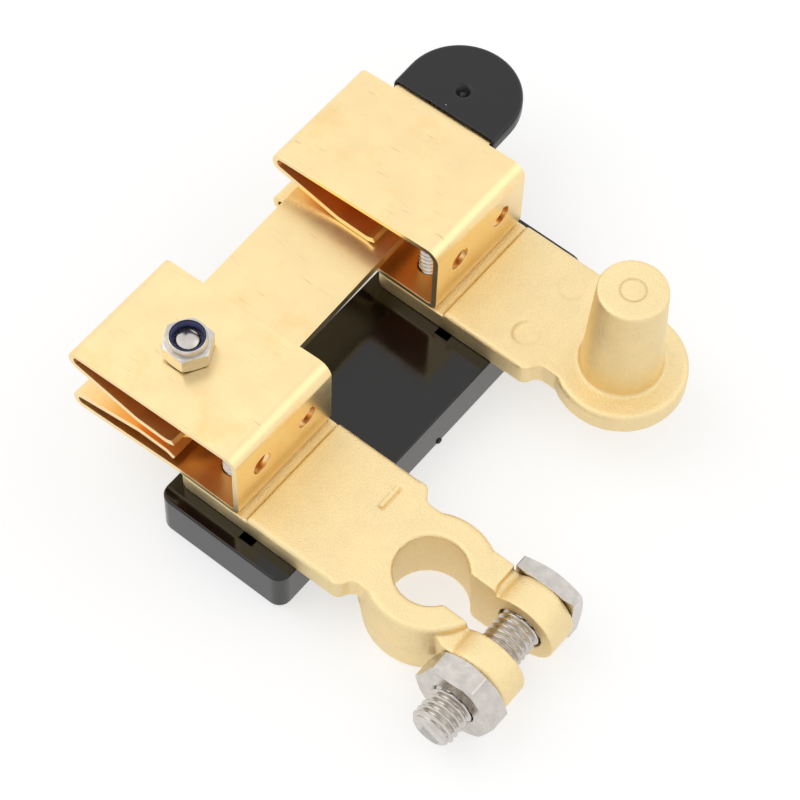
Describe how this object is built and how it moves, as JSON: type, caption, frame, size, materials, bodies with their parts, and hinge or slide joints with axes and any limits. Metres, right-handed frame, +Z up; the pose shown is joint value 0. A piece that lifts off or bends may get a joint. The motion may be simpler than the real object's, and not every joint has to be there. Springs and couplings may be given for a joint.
{
  "type": "battery disconnect switch",
  "caption": "Knife-blade battery disconnect switch: two plated terminals with folded spring jaws on a black block, a swinging blade with a black grip, a clamp ring and a battery post.",
  "frame": {"origin": "axis of the clamp's bore, level with the underside", "axes": "+X along the terminals from the spring jaws towards the clamp and the post, +Y from the pivot jaw to the contact jaw, +Z up along the bore and the post"},
  "size_m": [0.1157, 0.1347, 0.046],
  "materials": {
    "cast_plated": "satin, cast texture",
    "sheet_plated": "satin, lightly scratched",
    "black_moulding": "gloss",
    "soft_grip": "soft, dusty",
    "bright_steel": "bright",
    "blue_nylon": "matte"
  },
  "bodies": {
    "body": {"insulator_base": "black_moulding", "clamp_terminal": "cast_plated", "post_terminal": "cast_plated", "pivot_jaw": "sheet_plated", "contact_jaw": "sheet_plated", "pivot_bolt": "bright_steel", "pivot_locknut": "bright_steel", "locknut_insert": "blue_nylon", "pivot_jaw_screw_front": "bright_steel", "pivot_jaw_screw_rear": "bright_steel", "contact_jaw_screw_front": "bright_steel", "contact_jaw_screw_rear": "bright_steel"},
    "blade": {"switch_blade": "sheet_plated", "handle_grip": "soft_grip"},
    "bolt": {"clamp_bolt": "bright_steel"},
    "nut": {"clamp_nut": "bright_steel"}
  },
  "joints": [
    {"name": "blade_swing", "type": "hinge", "parent": "body", "child": "blade", "pos_m": [-0.0652, 0, 0.02465], "axis": [0, 0, 1], "range_deg": [-2.9, 190]},
    {"name": "clamp_bolt_turn", "type": "hinge", "parent": "body", "child": "bolt", "pos_m": [0.0201, 0, 0.0097], "axis": [0, 1, 0], "range_deg": [0, 1802]},
    {"name": "clamp_nut_slide", "type": "slide", "parent": "body", "child": "nut", "axis": [0, -1, 0], "range_m": [0, 0.0075]}
  ],
  "couplings": [
    {"joint": "clamp_bolt_turn", "follows": "clamp_nut_slide", "rad_per_m": 4188.8}
  ]
}
